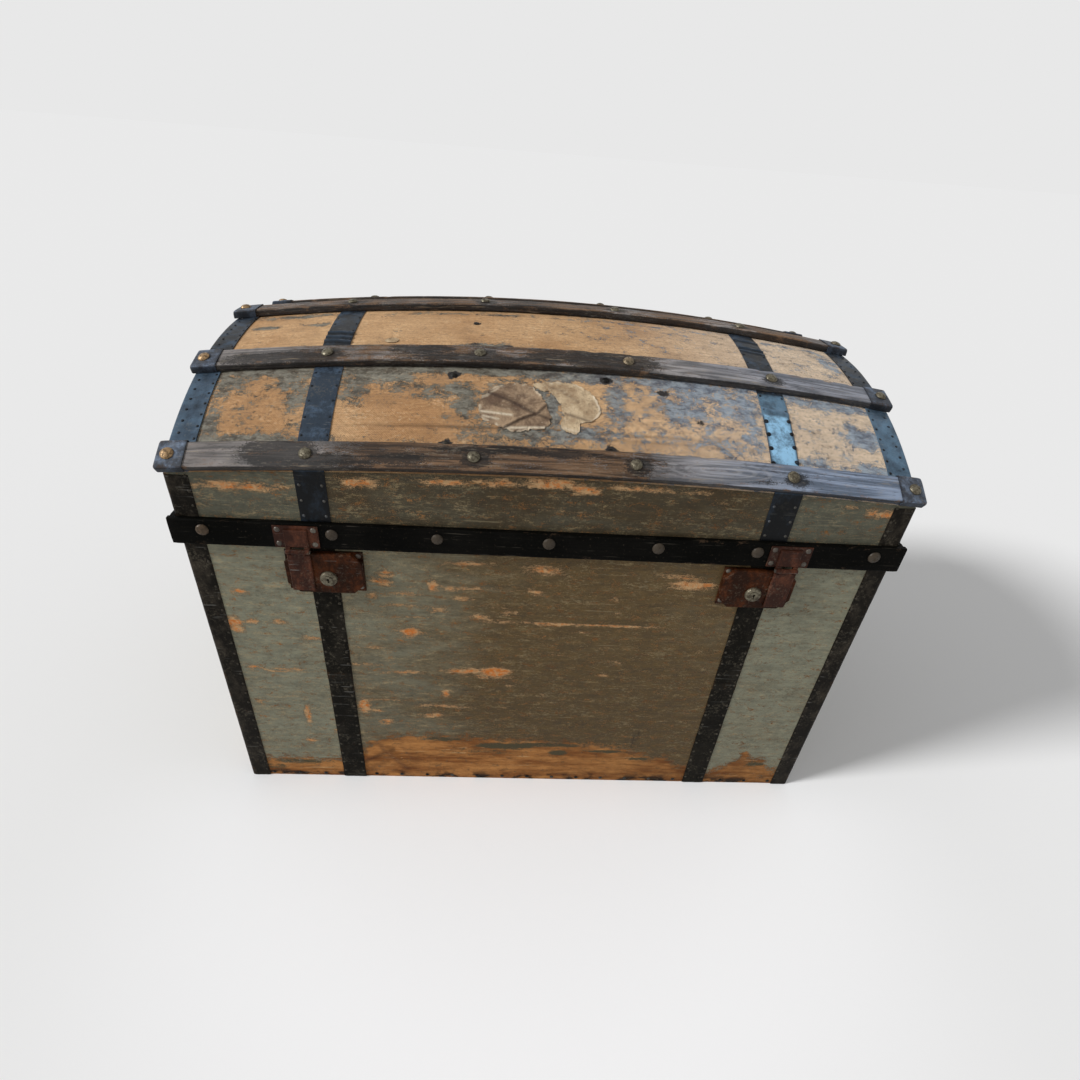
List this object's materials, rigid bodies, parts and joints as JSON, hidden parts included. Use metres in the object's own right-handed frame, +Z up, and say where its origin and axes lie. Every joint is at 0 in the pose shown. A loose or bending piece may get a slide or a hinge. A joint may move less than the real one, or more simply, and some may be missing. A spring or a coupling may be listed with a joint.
{
  "type": "dome top trunk",
  "caption": "Travelling trunk with a domed lid, canvas skin, wooden slats, black iron straps, two hasp locks and end handles; the lid is hinged at the back.",
  "frame": {"origin": "middle of the flat base", "axes": "+X along the trunk's length to the right, +Y to the back, +Z up; the locks are on the -Y face"},
  "size_m": [0.825, 0.5615, 0.604],
  "materials": {
    "board_wood": "matt bare pine",
    "body_canvas": "painted canvas, matt, worn",
    "dome_canvas": "painted canvas worn to tan, matt",
    "lining_paper": "matt aged paper",
    "black_iron": "black painted sheet iron, satin, worn",
    "slat_wood": "brown wood with worn black paint",
    "batten_wood": "black painted wood, satin",
    "lock_iron": "red-brown japanned iron, worn",
    "brass": "tarnished brass",
    "steel": "dull iron",
    "hinge_iron": "black japanned iron",
    "handle_iron": "black iron"
  },
  "bodies": {
    "trunk_body": {"body_back_board": "board_wood", "body_canvas": "body_canvas", "body_corner_irons": "black_iron", "body_front_board": "board_wood", "body_left_board": "board_wood", "body_lining": "lining_paper", "body_right_board": "board_wood", "body_rivets": "steel", "body_strap_left": "black_iron", "body_strap_right": "black_iron", "bottom_board": "board_wood", "bottom_tacks": "steel", "handle_plate_left": "handle_iron", "handle_plate_right": "handle_iron", "hinge_body_leaves": "hinge_iron", "hinge_pins": "steel", "lock_bosses": "brass", "lock_case_left": "lock_iron", "lock_case_right": "lock_iron", "rim_tongue": "board_wood"},
    "lid": {"lid_front_board": "board_wood", "lid_back_board": "board_wood", "lid_left_board": "board_wood", "lid_right_board": "board_wood", "dome_board_1": "board_wood", "dome_board_2": "board_wood", "dome_board_3": "board_wood", "dome_board_4": "board_wood", "dome_canvas": "dome_canvas", "lid_wall_canvas": "body_canvas", "lid_lining": "lining_paper", "lid_corner_irons": "black_iron", "dome_edge_iron_left": "black_iron", "dome_edge_iron_right": "black_iron", "lid_strap_left": "black_iron", "lid_strap_right": "black_iron", "slat_1": "slat_wood", "slat_2": "slat_wood", "slat_3": "slat_wood", "slat_4": "slat_wood", "slat_5": "slat_wood", "slat_caps": "black_iron", "rim_batten_front": "batten_wood", "rim_batten_left": "batten_wood", "rim_batten_right": "batten_wood", "rim_battens_back": "batten_wood", "hasp_plate_left": "lock_iron", "hasp_plate_right": "lock_iron", "hasp_pins": "steel", "hinge_lid_leaves": "hinge_iron", "lid_rivets": "steel", "lid_nails": "brass"},
    "hasp_left": {"hasp_left": "lock_iron"},
    "hasp_right": {"hasp_right": "lock_iron"},
    "lock_barrel_left": {"lock_barrel_left": "brass"},
    "lock_barrel_right": {"lock_barrel_right": "brass"},
    "lock_bolt_left": {"lock_bolt_left": "steel"},
    "lock_bolt_right": {"lock_bolt_right": "steel"},
    "handle_left": {"handle_left": "handle_iron"},
    "handle_right": {"handle_right": "handle_iron"}
  },
  "joints": [
    {"name": "lid_open", "type": "hinge", "parent": "trunk_body", "child": "lid", "pos_m": [0, 0.2735, 0.396], "axis": [-1, 0, 0], "range_deg": [0, 100]},
    {"name": "hasp_left_swing", "type": "hinge", "parent": "lid", "child": "hasp_left", "pos_m": [-0.2681, -0.2796, 0.3943], "axis": [-1, 0, 0], "range_deg": [0, 150]},
    {"name": "hasp_right_swing", "type": "hinge", "parent": "lid", "child": "hasp_right", "pos_m": [0.2681, -0.2796, 0.3943], "axis": [-1, 0, 0], "range_deg": [0, 150]},
    {"name": "lock_left_turn", "type": "hinge", "parent": "trunk_body", "child": "lock_barrel_left", "pos_m": [-0.2401, -0.277, 0.359], "axis": [0, -1, 0], "range_deg": [0, 90]},
    {"name": "lock_right_turn", "type": "hinge", "parent": "trunk_body", "child": "lock_barrel_right", "pos_m": [0.2401, -0.277, 0.359], "axis": [0, 1, 0], "range_deg": [0, 90]},
    {"name": "lock_left_bolt", "type": "slide", "parent": "trunk_body", "child": "lock_bolt_left", "axis": [-1, 0, 0], "range_m": [0, 0.00509]},
    {"name": "lock_right_bolt", "type": "slide", "parent": "trunk_body", "child": "lock_bolt_right", "axis": [1, 0, 0], "range_m": [0, 0.00509]},
    {"name": "handle_left_swing", "type": "hinge", "parent": "trunk_body", "child": "handle_left", "pos_m": [-0.405, 0, 0.262], "axis": [0, 1, 0], "range_deg": [0, 90]},
    {"name": "handle_right_swing", "type": "hinge", "parent": "trunk_body", "child": "handle_right", "pos_m": [0.405, 0, 0.262], "axis": [0, -1, 0], "range_deg": [0, 90]}
  ],
  "couplings": [
    {"joint": "lock_left_turn", "follows": "lock_left_bolt", "rad_per_m": 308.5},
    {"joint": "lock_right_turn", "follows": "lock_right_bolt", "rad_per_m": 308.5}
  ]
}
